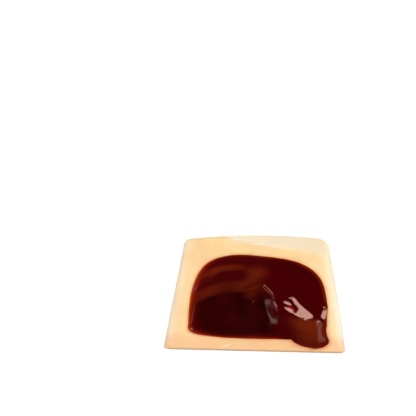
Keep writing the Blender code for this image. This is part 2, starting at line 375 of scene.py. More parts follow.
shell = {
    "halfWidth": (shellHigh.x - shellLow.x) / 2 / mm,
    "depth": (shellHigh.y - shellLow.y) / mm,
    "height": shellHigh.z / mm + 0.04,  # before the dome takes a little off
    "sideTaper": 3.2,
    "backTaper": 3.6,
    "rounding": ((1.25, 1.1, 0.5), (1.25, 1.4, 0.95)),  # left, front, base and right, back, top
    "backCorner": 3.4,
    # The knife left the top edge of the cut sharp: how much, where that starts and ends across,
    # how far below the top, and how far back
    "crisp": 0.7,
    "crispStart": (-6.5, -3.0),
    "crispEnd": (13.8, 12.8),
    "crispBelow": (2.0, 1.0),
    "crispBack": 1.2,
    "dome": 1.05,
    "topTilt": 0.05,  # how steeply the top rises to the right at the back
    # The dent that the knife pressed into the top
    "sag": 2.15,
    "sagStart": -5.2,
    "sagEnd": 12.0,
    "sagReach": 12.8,  # how far back it goes
    "sagEase": 0.6,  # under 1, it falls fastest where it starts
    "sagSoftness": 0.12,  # share of its length in which it sets in
    "sagFade": (0.35, 0.95),  # shares of the height between which the flanks take it up
    "wave": (0.05, 4.0, 0.7),  # soft waves of the cut face: height, length, how far back
    "step": 0.27,  # mm between points
    "roundSteps": 6,  # across each rounded edge
    "cutRings": 26,  # from the cut face's border in to the hollow
    "ringSpread": 1.7,  # over 1, they are closer together at the hollow
    "edgePlaces": 200,  # where the top front edge is read
    # Where the colours show. A pair is where something starts to show and where it is full.
    "paint": {
        "cutFade": (0.02, 0.75),  # behind the cut face
        "hollowSpare": (0.05, 0.1),  # beside the hollow's wall and behind its back
        "wobble": (0.12, 1.2),  # how far borders waver, and over what length
        "fringe": (0.75, 0.2, 1.0),  # orange round the filling: strength, width, how far back
        "stain": (0.4, 7.2, 1.35, 1.5, 0.5),  # oil beside the drip: strength, place, reach
        "paleRight": (0.95, 0.95),  # painted highlight along each flank, where the side light catches its rounded edge: strength and width
        "paleLeft": (0.9, 0.8),
        "paleUp": (0.0, 2.0),
        "paleBack": 0.7,  # how far back it goes
        "arris": (0.5, 15.5),  # painted highlight along the cut's top edge: strength, and from what height
        "arrisStart": (-5.5, -3.0),
        "arrisEnd": (11.0, 2.0),
        "arrisBack": (0.5, 0.1),
        "arrisBelow": (0.35, 0.1),
        "low": (0.5, 3.4, 1.4, 0.3),  # painted shade, darker and warmer low down where less light reaches: strength, heights, share of the wobble
        "foot": (0.7, 0.42, 0.1),  # painted contact shadow along the very base: strength and heights
    },
}


def stations(low, high, roundLow, roundHigh):
    # Places along one side of the block, closer together where it is rounded.
    count = shell["roundSteps"] + 1
    flat = np.linspace(low + roundLow, high - roundHigh, round((high - low) / shell["step"]))
    start = np.linspace(low, low + roundLow, count)[:-1]
    end = np.linspace(high - roundHigh, high, count)[1:]
    return np.concatenate([start, flat, end])


def shapeShell(p):
    # From the plain block to the moulded form: round edges, back corners, tapers, dome and dent.
    s = shell
    low = np.array([-s["halfWidth"], 0.0, 0.0])
    high = np.array([s["halfWidth"], s["depth"], s["height"]])
    roundLow, roundHigh = np.array(s["rounding"])
    core = np.clip(p, low + roundLow, high - roundHigh)
    radius = np.where(p < core, roundLow, roundHigh)
    turn = (p - core) / radius
    # The upright edges at the back get their own wide rounding below
    level = np.where(turn[:, 1] > 0, np.abs(turn[:, :2]).max(1), np.hypot(turn[:, 0], turn[:, 1]))
    turn /= np.maximum(np.hypot(level, turn[:, 2]), 1e-9)[:, None]
    q = core + turn * radius
    below, full = s["crispBelow"]
    crisp = s["crisp"] * smoothStep(*s["crispStart"], p[:, 0]) * smoothStep(*s["crispEnd"], p[:, 0])
    crisp = crisp * smoothStep(s["height"] - below, s["height"] - full, p[:, 2])
    crisp = crisp * (p[:, 1] < s["crispBack"])
    q = mix(q, p, crisp[:, None])
    corner = s["backCorner"]
    dx = np.maximum(np.abs(q[:, 0]) - (s["halfWidth"] - corner), 0.0)
    dy = np.maximum(q[:, 1] - (s["depth"] - corner), 0.0)
    pull = np.maximum(dx, dy) / np.maximum(np.hypot(dx, dy), 1e-9)
    pull = np.where((dx > 0) & (dy > 0), pull, 1.0)
    x = q[:, 0] - np.sign(q[:, 0]) * dx * (1 - pull)
    y = q[:, 1] - dy * (1 - pull)
    up = q[:, 2] / s["height"]
    x = x * (1 - s["sideTaper"] * up / s["halfWidth"])
    y = y * (1 - s["backTaper"] * up / s["depth"])
    across = np.clip((x - s["sagStart"]) / (s["sagEnd"] - s["sagStart"]), 0.0, 1.0)
    start = smoothStep(0.0, s["sagSoftness"], across)
    fall = s["sag"] * across ** s["sagEase"] * start * np.clip(1 - y / s["sagReach"], 0.0, 1.0)
    fall += s["dome"] * (x / s["halfWidth"]) ** 2 - s["topTilt"] * x * y / s["depth"]
    z = q[:, 2] - fall * smoothStep(*s["sagFade"], up)
    return np.stack([x, y, z], 1)


def place(x, y, z):
    return np.stack(np.broadcast_arrays(x, y, z), 1).astype(float)


def roofOver(p):
    # How far below the front top edge a point of the cut face is.
    across = np.linspace(-shell["halfWidth"], shell["halfWidth"], shell["edgePlaces"])
    edge = shapeShell(place(across, 0.0, shell["height"]))
    return np.interp(p[:, 0], edge[:, 0], edge[:, 2]) - p[:, 2]


def makeShell(material):
    s = shell
    sides = ((-s["halfWidth"], s["halfWidth"]), (0.0, s["depth"]), (0.0, s["height"]))
    xs, ys, zs = [stations(*side, low, high) for side, low, high in zip(sides, *s["rounding"])]
    points, faces = [], []

    def addGrid(grid):
        rows, columns = grid.shape[:2]
        for row in range(rows - 1):
            for column in range(columns - 1):
                a = len(points) + row * columns + column
                faces.append((a, a + 1, a + columns + 1, a + columns))
        points.extend(grid.reshape(-1, 3))

    def addSheet(a, b, build):
        rowValues, columnValues = np.meshgrid(a, b, indexing="ij")
        flat = build(rowValues.ravel(), columnValues.ravel())
        addGrid(shapeShell(flat).reshape(len(a), len(b), 3))

    addSheet(xs, zs, lambda a, b: place(a, s["depth"], b))
    for flank in (xs[0], xs[-1]):
        addSheet(ys, zs, lambda a, b: place(flank, a, b))
    for level in (zs[0], zs[-1]):
        addSheet(xs, ys, lambda a, b: place(a, b, level))
    # Rounded border of the cut face, in four strips round its flat middle
    border = s["roundSteps"]
    low, high = slice(border + 1), slice(-border - 1, None)
    middleX, middleZ = xs[border:-border], zs[border:-border]
    for a, b in ((xs[low], zs), (xs[high], zs), (middleX, zs[low]), (middleX, zs[high])):
        addSheet(a, b, lambda across, up: place(across, 0.0, up))
    # Flat middle, in rings from the border in to the hollow, then down the hollow's wall
    ring = [(x, middleZ[0]) for x in middleX[:-1]]
    ring += [(middleX[-1], z) for z in middleZ[:-1]]
    ring += [(x, middleZ[-1]) for x in middleX[:0:-1]]
    ring += [(middleX[0], z) for z in middleZ[:0:-1]]
    ringX, ringZ = np.array(ring).T
    outer = shapeShell(place(ringX, 0.0, ringZ))
    centreX, centreZ = hollow["centre"]
    angle = np.arctan2(outer[:, 2] - centreZ, outer[:, 0] - centreX)
    reach = hollow["reach"](angle)
    inner = place(centreX + reach * np.cos(angle), 0.0, centreZ + reach * np.sin(angle))
    shares = np.linspace(1.0, 0.0, s["cutRings"]) ** s["ringSpread"]
    rings = [mix(inner, outer, share) for share in shares]
    middle = np.array([centreX, 0.0, centreZ])
    wall = [(depth, 0.0) for depth in hollow["wallRings"]]
    for depth, inset in [*wall, (hollow["depth"], hollow["backInset"])]:
        narrowed = mix(inner, middle, inset)
        narrowed[:, 1] = depth
        rings.append(narrowed)
    addGrid(np.array([np.vstack([r, r[:1]]) for r in rings]))
    end, last = len(points), rings[-1]
    points.extend(last)
    points.append(last.mean(0))
    faces.extend((end + i, end + (i + 1) % len(last), end + len(last)) for i in range(len(last)))
    piece = makePiece("whiteChocolateShell", points, faces, material)
    onCut = paintShell(piece)
    height, length, back = s["wave"]
    p = meshPoints(piece)
    p[:, 1] += noiseAt(p, length, seed=1.0) * height * onCut * (p[:, 1] < back)
    storePoints(piece, p)
    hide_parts("white_chocolate_shell")
    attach(piece, "root")


def paintShell(piece):
    paint = shell["paint"]
    p = meshPoints(piece)
    x, y, z = p.T
    inside = insideForm(hollow, x, z)
    onCut = 1 - smoothStep(*paint["cutFade"], y)
    beside, behind = paint["hollowSpare"]
    inHollow = (inside > beside) & (y < hollow["depth"] + behind)
    storeValue(piece, "cut", np.where(inHollow, 1.0, onCut))
    far, length = paint["wobble"]
    wobble = noiseAt(p, length, seed=3.0) * far
    outside = np.maximum(-np.maximum(inside, insideForm(drip, x, z)), 0.0)
    strength, width, back = paint["fringe"]
    fringe = np.exp(-np.maximum(outside + wobble, 0.0) / width) * strength
    strength, stainX, stainZ, reachX, reachZ = paint["stain"]
    stain = np.hypot((x - stainX) / reachX, (z - stainZ) / reachZ)
    fringe = np.maximum(fringe, strength * np.exp(-(stain**2)) * (outside > 0))
    storeValue(piece, "fringe", np.where(y < back, fringe, 0.0))
    # Painted highlight: the lit rounded edges of the flanks and the cut's top edge are painted
    # paler
    flank = shell["halfWidth"] - shell["sideTaper"] * np.clip(z / shell["height"], 0.0, 1.0)
    (right, rightWidth), (left, leftWidth) = paint["paleRight"], paint["paleLeft"]
    paleHighlight = right * np.exp(-(flank - x) / rightWidth) + left * np.exp(-(flank + x) / leftWidth)
    paleHighlight = np.clip(paleHighlight, 0.0, 1.0) * smoothStep(*paint["paleUp"], z) * (y < paint["paleBack"])
    arris = smoothStep(*paint["arrisStart"], x) * smoothStep(*paint["arrisEnd"], x)
    strength, lowest = paint["arris"]
    arris = strength * arris * smoothStep(*paint["arrisBack"], y) * (z > lowest)
    paleHighlight = np.maximum(paleHighlight, arris * smoothStep(*paint["arrisBelow"], roofOver(p)))
    storeValue(piece, "paleHighlight", paleHighlight)
    # Painted shade: the cut face darkens towards the table
    strength, start, full, share = paint["low"]
    storeValue(piece, "low", strength * smoothStep(start, full, z + share * wobble))
    # Painted contact shadow: a soft dark line along the base
    strength, start, full = paint["foot"]
    storeValue(piece, "foot", strength * smoothStep(start, full, z))
    return onCut


# Crumbs that the knife left on the top edge and above the foot, half sunk in the shell.

crumbs = {
    # How many, from and to across the shell, from and to back (on the cut face: up), size, how
    # much longer it is that way across, back and up, and the share of them that are pale
    "rows": {
        "onTop": (34, (-4.3, 1.8), (0.0, 0.5), (0.07, 0.17), (1.8, 0.8, 0.62), 0.5),
        "flakes": (24, (-4.6, 3.4), (0.0, 0.12), (0.07, 0.14), (4.2, 0.9, 0.8), 0.9),
        "onFront": (9, (-5.5, -2.2), (0.75, 1.05), (0.07, 0.13), (2.4, 0.6, 0.7), 0.8),
    },
    "lumpiness": 0.45,
    "lumpSize": 0.9,  # beside a crumb of radius 1
    "tiltReach": 0.2,  # mm to either side, where the slope under a crumb is read
    # Paint on the crumbs: the pale ones are whitened as a painted highlight along the crisp edge,
    # and the others are darkened as painted shadow lines under it
    "paleness": 0.6,
    "shade": 0.35,
    "seed": 4,
}


def makeCrumbs(material):
    s = crumbs
    bm = bmesh.new()
    bmesh.ops.create_icosphere(bm, subdivisions=2, radius=1.0)
    ball = np.array([v.co[:] for v in bm.verts])
    sides = [[v.index for v in face.verts] for face in bm.faces]
    bm.free()
    chance = np.random.RandomState(s["seed"])
    points, faces, paleHighlight, low = [], [], [], []
    for row, (count, across, along, sizes, stretch, paleShare) in s["rows"].items():
        x, other = chance.uniform(*across, count), chance.uniform(*along, count)
        size, isPale = chance.uniform(*sizes, count), chance.uniform(0.0, 1.0, count) < paleShare
        back, up = (0.0, other) if row == "onFront" else (other, shell["height"])
        spots = (x - s["tiltReach"], x, x + s["tiltReach"])
        before, centres, after = [shapeShell(place(spot, back, up)) for spot in spots]
        tilt = (after[:, 2] - before[:, 2]) / (after[:, 0] - before[:, 0])
        for number, centre in enumerate(centres):
            lumps = noiseAt(ball, s["lumpSize"], seed=number + 10.0)
            lumpy = ball * (1 + s["lumpiness"] * lumps)[:, None] * np.array(stretch) * size[number]
            lumpy[:, 2] += tilt[number] * lumpy[:, 0]
            faces.extend([len(points) + i for i in side] for side in sides)
            points.extend(centre + lumpy)
            # Painted highlight on the pale crumbs, painted shade on the rest
            paleHighlight.extend([s["paleness"] * isPale[number]] * len(ball))
            low.extend([s["shade"] * (not isPale[number])] * len(ball))
    piece = makePiece("whiteChocolateCrumbs", points, faces, material)
    storeValue(piece, "cut", np.ones(len(points)))
    storeValue(piece, "paleHighlight", paleHighlight)
    storeValue(piece, "low", low)
    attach(piece, "root")


# Filling. All heights are how far the surface stands in front of the cut face, in millimetres.

# Slopes, to the right and up, at which the surface mirrors these lights to the camera
toWindow, toLeftCard, toRightCard = (-0.26, -0.5), (0.64, 0.0), (-0.4, -0.04)

filling = {
    "step": 0.085,  # mm between points
    "across": (-11.6, 13.0),  # the grid of points, before the outline trims it
    "up": (0.1, 16.3),
    "overlap": 0.35,  # how far it reaches into the shell's wall, so that no gap shows
    "shortOfBack": 0.3,  # how far in front of the hollow's back it ends
    "rimLevel": -0.3,
    # The scoop, read up the cut face as height and level: two soft bands left, one right
    "scoopLeft": [
        (2.1, -1.0), (2.9, -1.2), (9.4, -1.35), (11.8, -0.6), (13.1, -0.74), (14.5, -0.32),
        (16.0, -0.45),
    ],
    "scoopRight": [
        (2.1, -1.0), (3.0, -1.25), (8.2, -1.45), (10.4, -1.05), (13.8, -0.38), (16.0, -0.5),
    ],
    "scoopEnds": (2.0, 15.9),  # lowest and highest reading
    "scoopChange": (-3.2, -0.4),  # where the left reading turns into the right one
    "scoopArch": 0.045,  # how much the bands bend down to the left, per square millimetre
    "scoopMiddle": -3.0,
    # Slope up to the left rim: width, heights it fades between, share at the lower one
    "leftWall": (1.0, 5.5, 9.5, 0.2),
    "leftWallStart": (-5.0, -9.0),  # across
    "foot": (1.4, 5.6, 0.3),  # deep place: x, z, depth
    "footReach": (3.4, 1.7, 2.2, 2.8),  # how far it reaches left, right, up and down
    "sheet": (-0.4, 9.0, 0.045),  # level, the height it has it at, rise for each millimetre down
    "sheetRamp": (0.15, 9.5, 1.5),  # more rise for each millimetre below a height, softness
    # Lip between the scoop on its left and the sheet and tongue on its right, from the top down
    "lip": [
        (3.4, 17.0), (2.8, 14.6), (2.2, 13.1), (1.6, 11.8), (1.25, 10.7), (1.95, 9.95), (2.5, 9.3),
        (2.8, 8.7), (3.1, 7.7), (3.4, 6.6), (3.7, 5.5), (3.8, 4.5), (3.7, 3.2), (3.4, 1.0),
    ],
    # How wide the wall below the lip is, by height
    "lipWidth": [
        (2.0, 3.5), (4.6, 2.4), (5.6, 2.1), (8.3, 2.3), (9.6, 2.2), (11.0, 1.8), (17.0, 2.0),
    ],
    "lipReach": 1.05,  # how many such widths the wall takes
    "lipCurve": 2.2,  # how much later the wall gets steep, towards the lip
    "lipCurveTop": (10.2, 8.3),  # heights between which that sets in, and ends
    "lipCurveBase": (3.8, 5.4),
    # Edge below the sheet, where the tongue starts
    "crest": [
        (0.2, 10.0), (1.8, 8.9), (3.0, 8.0), (3.9, 7.5), (4.6, 7.05), (5.6, 6.35), (6.75, 5.85),
        (7.9, 5.6), (9.0, 5.65), (9.8, 5.75), (10.6, 5.6), (11.5, 5.2), (13.5, 4.4),
    ],
    # How wide the fall below it is, left and right, and where that changes across
    "crestBlend": (1.6, 0.5, 3.2, 5.2),
    "crestFade": (-1.0, 0.2),  # where the fall lies beside the crest, in such widths
    # Places that lean a known way: outline, slope to the right and up, edge width, firmness. The
    # dips keep the places beside them from mirroring a light as well.
    "leans": {
        "redDip": ([
            (4.2, 7.95), (5.0, 7.58), (6.0, 7.2), (6.5, 6.95), (6.75, 7.25), (6.5, 7.8), (6.2, 8.1),
            (6.05, 7.66), (5.5, 7.7), (4.9, 7.88), (4.3, 8.2),
        ], (0.05, 0.1), 0.06, 6.0),
        "tipDip": ([
            (4.6, 10.2), (6.8, 10.0), (6.5, 9.25), (5.85, 9.0), (6.1, 8.5), (5.6, 8.45), (4.6, 8.8),
        ], (0.0, 0.05), 0.1, 3.0),
        "rimDip": ([
            (10.5, 9.6), (11.5, 9.6), (11.9, 8.6), (11.6, 7.8), (10.7, 7.3),
        ], (0.0, 0.0), 0.35, 1.0),
        "leafDip": ([
            (4.2, 8.5), (5.4, 8.35), (6.0, 8.2), (5.7, 8.7), (4.6, 9.0),
        ], (0.0, 0.1), 0.08, 4.0),
        "swoosh": ([
            (5.85, 8.9), (6.3, 9.1), (6.75, 8.75), (7.21, 8.23), (8.22, 7.26), (9.2, 6.5),
            (9.6, 6.1), (9.24, 5.8), (7.92, 5.72), (6.93, 6.0), (5.76, 6.55), (5.1, 7.0),
            (4.6, 7.6), (5.1, 7.4), (5.75, 7.08), (6.5, 6.75), (6.9, 7.0), (6.85, 7.4), (6.5, 8.0),
        ], toWindow, 0.08, 40.0),
        "innerLeaf": ([
            (4.35, 8.35), (5.0, 7.95), (5.9, 7.75), (6.0, 7.95), (5.4, 8.1),
        ], toWindow, 0.06, 60.0),
        "rimLeaf": ([
            (12.0, 8.0), (11.7, 7.4), (11.3, 6.8), (10.85, 6.0), (11.5, 5.6), (11.8, 6.3),
            (12.0, 7.2),
        ], toWindow, 0.1, 60.0),
        "foldLeaf": ([
            (2.65, 8.6), (3.0, 8.35), (3.4, 7.75), (3.7, 7.0), (3.45, 6.85), (3.1, 7.5),
        ], toWindow, 0.1, 20.0),
        "crescent": ([
            (1.6, 8.6), (2.3, 7.7), (2.8, 6.9), (3.1, 6.1), (3.35, 5.3), (3.7, 4.9), (3.6, 5.8),
            (3.3, 6.7), (2.9, 7.6), (2.3, 8.6),
        ], toLeftCard, 0.5, 5.0),
        "dripStreak": ([
            (10.2, 5.0), (10.5, 4.0), (10.45, 2.6), (10.3, 1.7), (10.8, 1.6), (11.0, 2.6),
            (11.0, 4.0), (10.8, 5.0),
        ], toRightCard, 0.5, 5.0),
    },
    "leanPlaces": 60,  # round each outline
    "leanTurns": 500,  # rounds of the fit
    "leanHold": 0.15,  # how firmly the rest stays where it was
    "rimHold": (1.5, 0.2),  # how much firmer at the rim, and how far in
    # The tongue's surface: x, z, height
    "tongue": [
        (1.0, 7.0, -0.7), (2.0, 2.0, -1.0), (3.8, 6.6, -0.25), (3.8, 5.0, -0.6), (3.8, 3.5, -0.85),
        (3.8, 2.0, -0.8), (5.5, 5.9, 0.0), (5.5, 4.8, -0.25), (5.5, 3.5, -0.42), (5.5, 2.2, -0.2),
        (6.4, 1.8, 0.2), (7.2, 5.6, 0.4), (7.2, 4.6, 0.3), (7.2, 3.4, 0.22), (7.2, 2.2, 0.3),
        (7.2, 1.2, 0.4), (8.8, 5.6, 0.6), (8.8, 4.4, 0.7), (8.8, 3.2, 0.7), (8.8, 2.0, 0.65),
        (8.8, 0.9, 0.5), (9.8, 5.6, 0.6), (9.8, 4.4, 0.85), (9.8, 3.2, 0.92), (9.8, 2.0, 0.86),
        (9.8, 0.8, 0.6), (10.7, 5.3, 0.5), (10.7, 4.2, 0.72), (10.7, 3.0, 0.78), (10.7, 2.0, 0.76),
        (10.7, 0.9, 0.5), (11.6, 5.1, 0.15), (11.6, 4.0, 0.25), (11.6, 3.0, 0.35),
        (11.6, 2.0, 0.45), (12.4, 2.0, 0.15),
    ],
    # Fold along the lip: its line, height by height up the face, where it sets in and half width
    "fold": [
        (-1.4, 10.35), (-0.3, 10.65), (0.6, 10.75), (1.3, 10.55), (1.9, 9.9), (2.45, 9.3),
        (2.8, 8.7), (3.05, 7.9), (3.45, 7.1),
    ],
    "foldHeight": [(6.8, 0.1), (7.9, 0.36), (8.7, 0.2), (9.6, 0.34), (11.0, 0.34)],
    "foldStart": (-1.7, 0.4),
    "foldWidth": 0.29,
    # Tiny bubbles under the skin: x, z, height
    "bubbles": [
        (-0.37, 8.17, 0.15), (8.36, 2.65, 0.09), (-8.35, 8.02, 0.045), (-7.95, 6.4, 0.055),
        (-6.13, 4.8, 0.06), (-5.31, 4.52, 0.055), (-8.32, 3.27, 0.05), (-3.89, 7.37, 0.045),
        (-7.94, 12.85, 0.055), (-7.14, 13.61, 0.045), (-8.39, 12.02, 0.06), (-6.75, 9.39, 0.055),
        (1.26, 15.06, 0.05), (8.44, 8.67, 0.045),
    ],
    "bubbleSize": 0.15,
    "ripple": (0.012, 1.6),  # height and length
    # The skin that creeps up the hollow's wall: its width low down and higher up, the heights
    # between, and the lower left corner that has none, across and up
    "meniscus": (0.08, 0.2, 3.5, 6.0),
    "bareAcross": (-5.0, -8.0),
    "bareUp": (5.5, 3.5),
    "roll": (1.1, 0.5),  # how far in the drip's edge rolls back, and how softly drip meets hollow
    # Where the colours and the satin finish show, in the same way
    "paint": {
        "tongueStart": (3.5, 7.5),  # across
        "belowCrest": (0.3, -0.5),
        # Patches of painted brown glow and reflection: x, z, half length, half width, turn,
        # strength, fullness
        "leftBrowns": [
            (0.3, 13.0, 2.7, 1.6, -6.0, 0.8, 2.0),
            (-0.3, 11.2, 2.8, 1.8, -12.0, 0.5, 2.0),
            (-7.2, 12.6, 2.6, 1.1, 42.0, 0.5, 2.0),
        ],
        "tongueBrowns": [
            (7.2, 5.1, 4.6, 1.8, -8.0, 0.8, 2.0),
            (9.4, 3.4, 4.2, 3.4, -20.0, 0.95, 2.0),
        ],
        "redPatch": (5.9, 7.3, 1.0, 0.5, -30.0, 0.4, 1.0),  # where light shines through
        "brownLight": 0.85,
        "brownPatches": (0.75, 0.45, 3.2),  # mean, swing and length of its changes
        "facingDown": (0.0, 0.5),  # slopes at which the scoop gets a painted brown reflection of the table
        # Where that ends across, low down and high up, and the heights between
        "foldLow": (0.8, -1.2),
        "foldHigh": (3.2, 1.2),
        "foldChange": (10.2, 11.4),
        # Painted shade in the recesses: the levels between which it sets in, and its patches
        "deepLevels": (-0.4, -1.7),
        "deepPatches": (0.85, 0.6, 2.6),
        "satinLeftOfLip": (1.0, -1.0),
        "satinTongue": 1.3,
        "satinCrescent": (2.2, -0.9, 0.1),  # strength, and how far inside
        "satinRim": (2.5, 0.4, -6.0, -10.0),  # strength, width, and where across
        "thin": 0.95,
        "rimGlow": (0.22, 0.33, -6.0, -9.5),  # width, how much more at the left, and where across
        # Second thin line inside the right rim: strength, how far in and width
        "innerLine": (0.75, 0.38, 0.08),
        "innerAcross": (5.0, 8.0),
        "innerUp": (7.0, 9.0),
    },
}


def curveThrough(points, x):
    # Reads a line through (x, value) points, level at each point.
    xs, values = np.array(sorted(points), float).T
    i = np.clip(np.searchsorted(xs, x) - 1, 0, len(xs) - 2)
    share = smoothStep(0.0, 1.0, (x - xs[i]) / (xs[i + 1] - xs[i]))
    return mix(values[i], values[i + 1], share)


def besideLine(points, x, z):
    # Distance to an open line, positive on its left looking along it, and the nearest place on it.
    nearest = np.full(x.shape, 1e9)
    side, nearX, nearZ = np.zeros((3, *x.shape))
    for a, b in zip(points[:-1], points[1:]):
        alongX, alongZ = b[0] - a[0], b[1] - a[1]
        t = np.clip(((x - a[0]) * alongX + (z - a[1]) * alongZ) / (alongX**2 + alongZ**2), 0.0, 1.0)
        onX, onZ = a[0] + alongX * t, a[1] + alongZ * t
        distance = np.hypot(x - onX, z - onZ)
        closer = distance < nearest
        nearest = np.where(closer, distance, nearest)
        side = np.where(closer, np.sign(alongX * (z - onZ) - alongZ * (x - onX)), side)
        nearX, nearZ = np.where(closer, onX, nearX), np.where(closer, onZ, nearZ)
    return nearest * side, nearX, nearZ


def insideOutline(points, x, z):
    # Millimetres inside a closed outline, negative outside.
    nearest = np.abs(besideLine([*points, points[0]], x, z)[0])
    within = np.zeros(x.shape, bool)
    for a, b in zip(points, [*points[1:], points[0]]):
        level = (a[1] > z) != (b[1] > z)
        within ^= level & (x < a[0] + (z - a[1]) * (b[0] - a[0]) / (b[1] - a[1] + 1e-12))
    return np.where(within, nearest, -nearest)


def scoopLevel(x, z):
    s = filling
    arch = s["scoopArch"] * np.minimum(x - s["scoopMiddle"], 0.0) ** 2
    bent = np.clip(z + arch, *s["scoopEnds"])
    left, right = curveThrough(s["scoopLeft"], bent), curveThrough(s["scoopRight"], bent)
    level = mix(left, right, smoothStep(*s["scoopChange"], x))
    width, low, high, least = s["leftWall"]
    nearRim = smoothStep(width, 0.0, insideForm(hollow, x, z)) * smoothStep(*s["leftWallStart"], x)
    rise = nearRim * mix(least, 1.0, smoothStep(low, high, z))
    level = level + (s["rimLevel"] - level) * rise
    fx, fz, depth = s["foot"]
    left, right, up, down = s["footReach"]
    across, along = (x - fx) / np.where(x < fx, left, right), (z - fz) / np.where(z > fz, up, down)
    return level - depth * np.exp(-(across**2) - along**2)


def sheetLevel(x, z):
    # The smooth sunken sheet, which comes forward towards the tongue's crest.
    level, height, rise = filling["sheet"]
    rampRise, rampTop, softness = filling["sheetRamp"]
    return level + rise * (height - z) + rampRise * smoothMax(rampTop - z, 0.0 * z, softness)


def swelling(x, z, spot):
    sx, sz, length, width, turn, height, fullness = spot
    c, s = math.cos(math.radians(turn)), math.sin(math.radians(turn))
    along = ((x - sx) * c + (z - sz) * s) / length
    beside = (-(x - sx) * s + (z - sz) * c) / width
    return height * np.maximum(0.0, 1 - along**2 - beside**2) ** fullness


def thinPlate(points, x, z):
    # The smoothest surface through points of x, z and height.
    known = np.array(points, float)

    def bend(ax, az, bx, bz):
        square = (ax[:, None] - bx[None]) ** 2 + (az[:, None] - bz[None]) ** 2
        return square * np.log(square + 1e-9)

    def plane(ax, az):
        return np.stack([np.ones_like(ax), ax, az], 1)

    kx, kz = known[:, 0], known[:, 1]
    system = np.block([[bend(kx, kz, kx, kz), plane(kx, kz)], [plane(kx, kz).T, np.zeros((3, 3))]])
    weights = np.linalg.solve(system, np.concatenate([known[:, 2], np.zeros(3)]))
    return bend(x, z, kx, kz) @ weights[:-3] + plane(x, z) @ weights[-3:]


def fillingFront(x, z):
    s = filling
    wide, narrow, start, end = s["crestBlend"]
    side = besideLine(s["crest"], x, z)[0] / mix(wide, narrow, smoothStep(start, end, x))
    above = smoothStep(*s["crestFade"], side)
    right = mix(thinPlate(s["tongue"], x, z), sheetLevel(x, z), above)
    width = curveThrough(s["lipWidth"], z)
    pastLip = besideLine(s["lip"], x, z)[0]
    share = np.clip((pastLip + width) / (width * s["lipReach"]), 0.0, 1.0)
    hollowed = smoothStep(*s["lipCurveTop"], z) * smoothStep(*s["lipCurveBase"], z)
    share = mix(smoothStep(0.0, 1.0, share), share ** s["lipCurve"], hollowed)
    level = mix(scoopLevel(x, z), right, share)
    fold, nearX, nearZ = besideLine(s["fold"], x, z)
    foldHeight = curveThrough(s["foldHeight"], nearZ) * smoothStep(*s["foldStart"], nearX)
    level = level + foldHeight * np.exp(-((fold / s["foldWidth"]) ** 2))
    for bubbleX, bubbleZ, height in s["bubbles"]:
        spread = ((x - bubbleX) ** 2 + (z - bubbleZ) ** 2) / s["bubbleSize"] ** 2
        level = level + height * np.exp(-spread)
    narrow, wide, low, high = s["meniscus"]
    width = mix(narrow, wide, smoothStep(low, high, z))
    meniscus = np.exp(-np.maximum(insideForm(hollow, x, z), 0.0) / width)
    meniscus = meniscus * (1.0 - smoothStep(*s["bareAcross"], x) * smoothStep(*s["bareUp"], z))
    return np.where(level < s["rimLevel"], mix(level, s["rimLevel"], meniscus), level)


def leanPlaces(front, x, z, hold):
    # Turns the surface to the set slopes in the leaning places, and the rest follows as gently as
    # it can: a least squares fit of slopes, solved by conjugate gradients.
    s = filling
    step = s["step"]
    gapX, gapZ = np.diff(front, axis=0) / step, np.diff(front, axis=1) / step
    firmX, firmZ = np.ones(gapX.shape), np.ones(gapZ.shape)
    wishX, wishZ = np.zeros(gapX.shape), np.zeros(gapZ.shape)
    for outline, (leanX, leanZ), edge, firmness in s["leans"].values():
        inside = insideOutline(closedCurve(outline, s["leanPlaces"]), x, z)
        share = smoothStep(-edge, edge, inside)
        shareX, shareZ = (share[1:] + share[:-1]) / 2, (share[:, 1:] + share[:, :-1]) / 2
        firmX, firmZ = firmX + firmness * shareX, firmZ + firmness * shareZ
        wishX, wishZ = mix(wishX, leanX - gapX, shareX), mix(wishZ, leanZ - gapZ, shareZ)

    def gather(flowX, flowZ):
        total = np.zeros(front.shape)
        total[1:] += flowX
        total[:-1] -= flowX
        total[:, 1:] += flowZ
        total[:, :-1] -= flowZ
        return total

    def pull(change):
        slopes = gather(firmX * np.diff(change, axis=0), firmZ * np.diff(change, axis=1))
        return slopes + hold * step**2 * change

    # Each point hangs on four neighbours, with a firmness of 1 where nothing leans
    weight = hold * step**2 + 4.0
    weight[1:] += firmX - 1.0
    weight[:-1] += firmX - 1.0
    weight[:, 1:] += firmZ - 1.0
    weight[:, :-1] += firmZ - 1.0
    change = np.zeros(front.shape)
    missing = gather(firmX * wishX, firmZ * wishZ) * step
    way = missing / weight
    size = (missing * way).sum()
    for turn in range(s["leanTurns"]):
        pulled = pull(way)
        along = size / (way * pulled).sum()
        change += along * way
        missing -= along * pulled
        eased = missing / weight
        newSize = (missing * eased).sum()
        way = eased + way * newSize / size
        size = newSize
    return front + change


